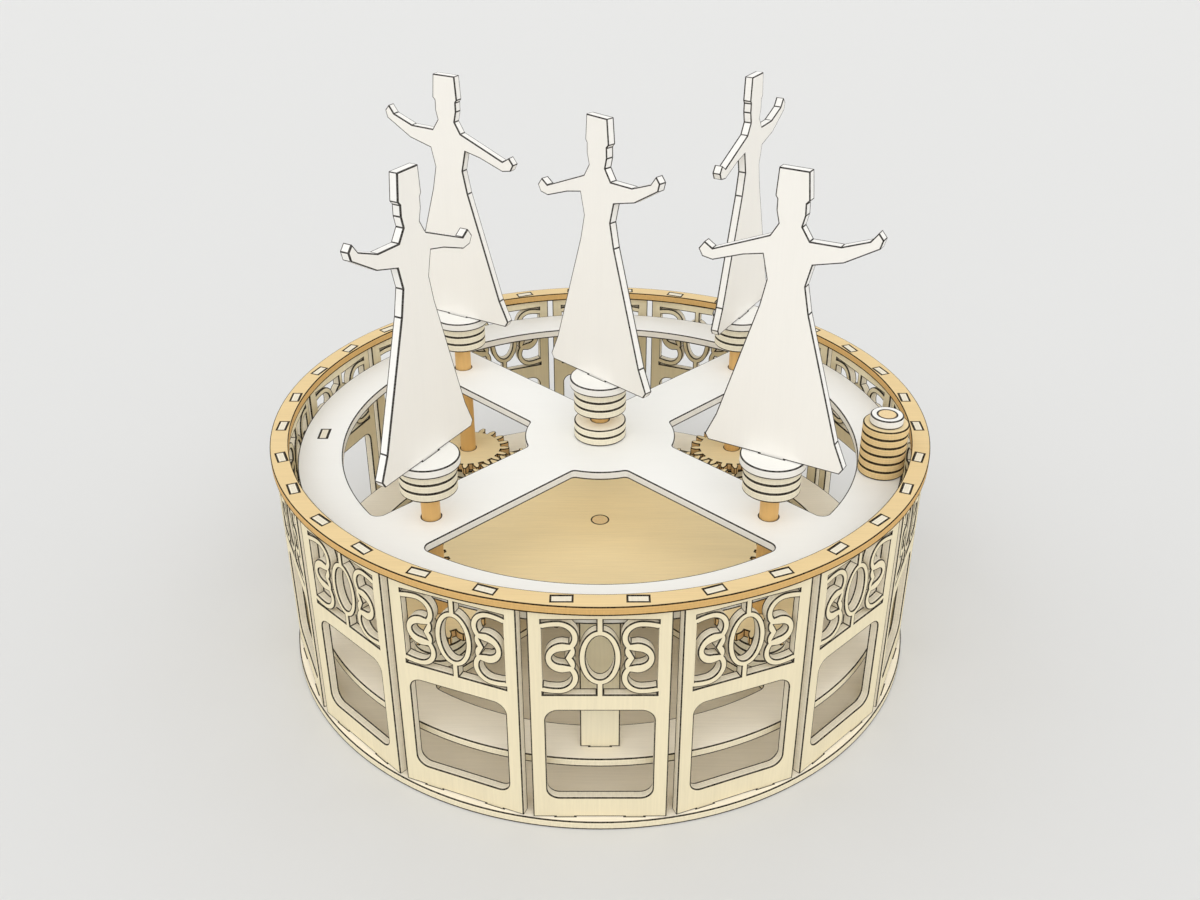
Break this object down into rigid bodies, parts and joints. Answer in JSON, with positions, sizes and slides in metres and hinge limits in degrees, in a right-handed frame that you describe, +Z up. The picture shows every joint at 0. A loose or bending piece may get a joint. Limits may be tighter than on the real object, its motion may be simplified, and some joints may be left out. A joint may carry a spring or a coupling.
{
  "type": "wooden automaton",
  "caption": "Hand-turned plywood automaton: flat dancers spin on a turntable over planetary gears, inside a round housing of fretted panels.",
  "frame": {"origin": "middle of the base's underside, on the turntable's axis", "axes": "+Z up along the turntable's axis, -Y towards the viewer of the picture, +X to the viewer's right"},
  "size_m": [0.224, 0.224, 0.1868],
  "materials": {
    "cream_ply": "satin, pale laser-cut plywood, unpainted",
    "tan_ply": "satin, warm laser-cut plywood, unpainted",
    "white_ply": "matte white-painted laser-cut plywood",
    "dowel": "satin beech dowel rod"
  },
  "bodies": {
    "casing": {"base_plate": "cream_ply", "top_ring": "tan_ply", "centre_post": "dowel", "sun_gear": "tan_ply", "base_spacers": "cream_ply", "sun_spacers": "cream_ply", "panel_01": "cream_ply", "panel_02": "cream_ply", "panel_03": "cream_ply", "panel_04": "cream_ply", "panel_05": "cream_ply", "panel_06": "cream_ply", "panel_07": "cream_ply", "panel_08": "cream_ply", "panel_09": "cream_ply", "panel_10": "cream_ply", "panel_11": "cream_ply", "panel_12": "cream_ply", "panel_13": "cream_ply", "panel_14": "cream_ply", "panel_15": "cream_ply", "panel_16": "cream_ply"},
    "carrier": {"turntable": "white_ply", "lower_disc": "cream_ply", "strut_1": "cream_ply", "strut_2": "cream_ply", "strut_3": "cream_ply", "strut_4": "cream_ply", "hub_collar": "cream_ply", "centre_pin": "dowel", "centre_discs": "cream_ply", "centre_cap": "white_ply", "centre_figure": "white_ply", "knob_pin": "dowel", "knob_collar": "white_ply"},
    "knob": {"knob_grip": "tan_ply"},
    "dancer_1": {"shaft_1": "dowel", "gear_1": "tan_ply", "spacers_1": "cream_ply", "discs_1": "cream_ply", "cap_1": "white_ply", "figure_1": "white_ply"},
    "dancer_2": {"shaft_2": "dowel", "gear_2": "tan_ply", "spacers_2": "cream_ply", "discs_2": "cream_ply", "cap_2": "white_ply", "figure_2": "white_ply"},
    "dancer_3": {"shaft_3": "dowel", "gear_3": "tan_ply", "spacers_3": "cream_ply", "discs_3": "cream_ply", "cap_3": "white_ply", "figure_3": "white_ply"},
    "dancer_4": {"shaft_4": "dowel", "gear_4": "tan_ply", "spacers_4": "cream_ply", "discs_4": "cream_ply", "cap_4": "white_ply", "figure_4": "white_ply"}
  },
  "joints": [
    {"name": "turntable_spin", "type": "hinge", "parent": "casing", "child": "carrier", "pos_m": [0, 0, 0.039], "axis": [0, 0, 1], "continuous": true},
    {"name": "knob_spin", "type": "hinge", "parent": "carrier", "child": "knob", "pos_m": [0.09372, -0.02441, 0.084], "axis": [0, 0, 1], "continuous": true},
    {"name": "dancer_1_spin", "type": "hinge", "parent": "carrier", "child": "dancer_1", "pos_m": [0.05303, -0.05303, 0.0375], "axis": [0, 0, 1], "continuous": true},
    {"name": "dancer_2_spin", "type": "hinge", "parent": "carrier", "child": "dancer_2", "pos_m": [0.05303, 0.05303, 0.0375], "axis": [0, 0, 1], "continuous": true},
    {"name": "dancer_3_spin", "type": "hinge", "parent": "carrier", "child": "dancer_3", "pos_m": [-0.05303, 0.05303, 0.0375], "axis": [0, 0, 1], "continuous": true},
    {"name": "dancer_4_spin", "type": "hinge", "parent": "carrier", "child": "dancer_4", "pos_m": [-0.05303, -0.05303, 0.0375], "axis": [0, 0, 1], "continuous": true}
  ],
  "couplings": [
    {"joint": "dancer_1_spin", "follows": "turntable_spin", "ratio": 4},
    {"joint": "dancer_2_spin", "follows": "turntable_spin", "ratio": 4},
    {"joint": "dancer_3_spin", "follows": "turntable_spin", "ratio": 4},
    {"joint": "dancer_4_spin", "follows": "turntable_spin", "ratio": 4}
  ]
}
